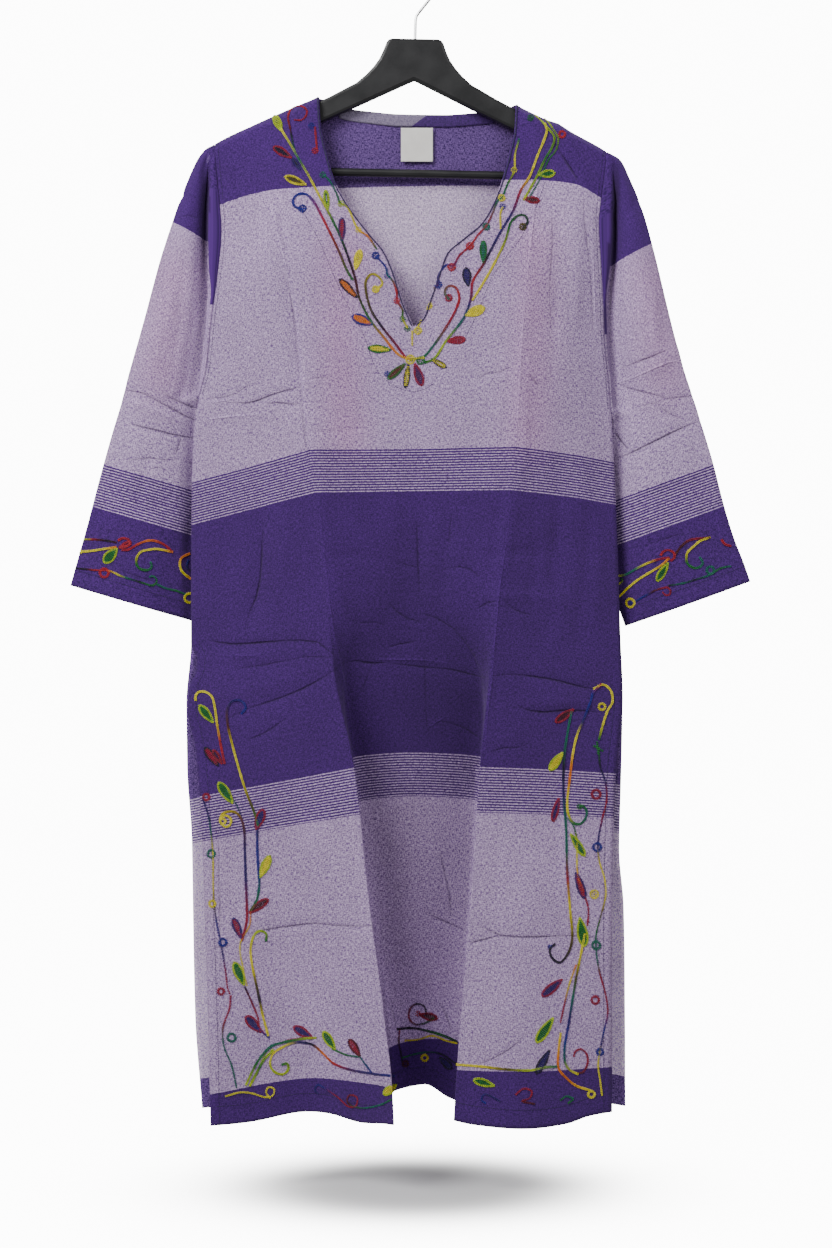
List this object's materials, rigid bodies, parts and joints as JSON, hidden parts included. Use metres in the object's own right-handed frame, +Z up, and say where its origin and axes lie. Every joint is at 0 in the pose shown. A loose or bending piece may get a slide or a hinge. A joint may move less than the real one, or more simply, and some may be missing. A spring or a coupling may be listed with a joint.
{
  "type": "kurta tunic on a coat hanger",
  "caption": "Long cotton kurta tunic with a V neck, elbow sleeves, side slits and colour-blocked embroidered panels, hanging on a flat coat hanger with a bar and a wire hook.",
  "frame": {"origin": "inside of the top of the hanger's hook, where the rail carries it", "axes": "+Z up, -Y out of the front of the tunic, -X towards the wearer's right side"},
  "size_m": [0.7076, 0.1542, 1.2004],
  "materials": {
    "cloth": "matt melange cotton, purple and lavender",
    "binding": "matt cotton",
    "label": "bare woven satin",
    "embroidery": "variegated cotton thread, slightly glossy",
    "thread": "sewing thread",
    "hanger": "fine matt black",
    "hook": "polished"
  },
  "bodies": {
    "root": {"front_panel": "cloth", "back_panel": "cloth", "sleeve_left": "cloth", "sleeve_right": "cloth", "back_neck_binding": "binding", "neck_label": "label", "hanger_body": "hanger", "hanger_bar": "hanger", "hanger_hook": "hook"}
  },
  "joints": []
}
